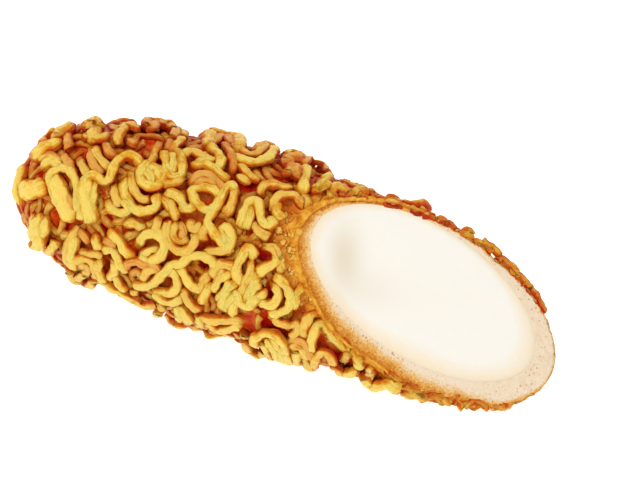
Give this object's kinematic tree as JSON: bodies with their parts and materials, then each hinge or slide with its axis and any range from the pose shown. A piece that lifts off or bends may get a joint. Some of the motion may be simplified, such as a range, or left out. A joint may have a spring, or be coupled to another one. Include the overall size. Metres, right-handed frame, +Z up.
{
  "type": "cheese-filled corn dog half",
  "caption": "Half of a corn dog coated in fried noodle curls, cut open on a slant to show a thick white mozzarella filling inside a fried batter shell, lying on its side.",
  "frame": {"origin": "centre of the footprint, on the surface the corn dog lies on", "axes": "+X along the corn dog from its rounded end to the cut end, +Z up out of the surface it lies on, the cut face up and towards +X"},
  "size_m": [0.143, 0.0493, 0.0466],
  "materials": {
    "batter": "satin",
    "noodles": "satin",
    "cheese": "satin"
  },
  "bodies": {
    "root": {"batter": "batter", "cheese": "cheese"}
  },
  "joints": []
}
